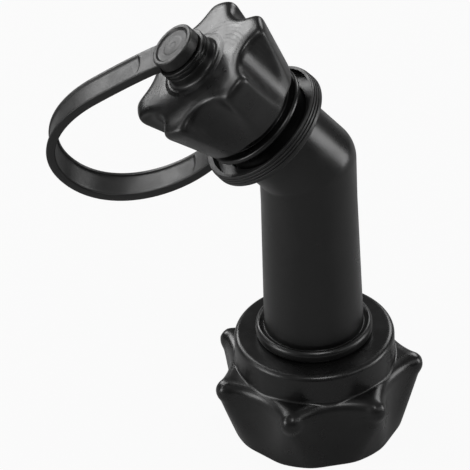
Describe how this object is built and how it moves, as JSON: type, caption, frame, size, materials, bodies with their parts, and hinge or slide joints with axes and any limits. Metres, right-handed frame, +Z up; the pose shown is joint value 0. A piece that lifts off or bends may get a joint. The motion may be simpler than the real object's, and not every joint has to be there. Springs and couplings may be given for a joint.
{
  "type": "jerrycan pour spout",
  "caption": "Bent pouring spout for a jerrycan: a lugged coupling nut at the base, an angled neck closed by a lobed screw cap, and a looped strap that keeps the cap.",
  "frame": {"origin": "centre of the coupling nut's bottom rim, on the nut's axis", "axes": "+Z up along the straight tube, with the outlet bending towards -X"},
  "size_m": [0.1173, 0.0701, 0.1625],
  "materials": {
    "tube_plastic": "satin moulded black polyethylene",
    "gasket_rubber": "matt black rubber",
    "nut_plastic": "satin moulded black polyethylene",
    "cap_plastic": "satin moulded black polyethylene, slightly scuffed",
    "seal_foam": "white foamed polyethylene liner",
    "strap_plastic": "satin flexible black polyethylene"
  },
  "bodies": {
    "spout": {"spout_tube": "tube_plastic", "base_gasket": "gasket_rubber"},
    "nut": {"coupling_nut": "nut_plastic"},
    "strap": {"retaining_strap": "strap_plastic"},
    "liner": {"cap_seal": "seal_foam"},
    "cap": {"closure_cap": "cap_plastic"}
  },
  "joints": [
    {"name": "nut_spin", "type": "hinge", "parent": "spout", "child": "nut", "pos_m": [0, 0, 0], "axis": [0, 0, 1], "continuous": true},
    {"name": "strap_swivel", "type": "hinge", "parent": "spout", "child": "strap", "pos_m": [0, 0, 0.104], "axis": [-0.6293, 0, 0.7771], "continuous": true},
    {"name": "cap_lift", "type": "slide", "parent": "strap", "child": "liner", "axis": [-0.6293, 0, 0.7771], "range_m": [0, 0.009], "deforming": ["retaining_strap"]},
    {"name": "cap_turn", "type": "hinge", "parent": "liner", "child": "cap", "pos_m": [0, 0, 0.104], "axis": [-0.6293, 0, 0.7771], "range_deg": [0, 540]}
  ],
  "couplings": [
    {"joint": "cap_turn", "follows": "cap_lift", "rad_per_m": 1047.2}
  ]
}
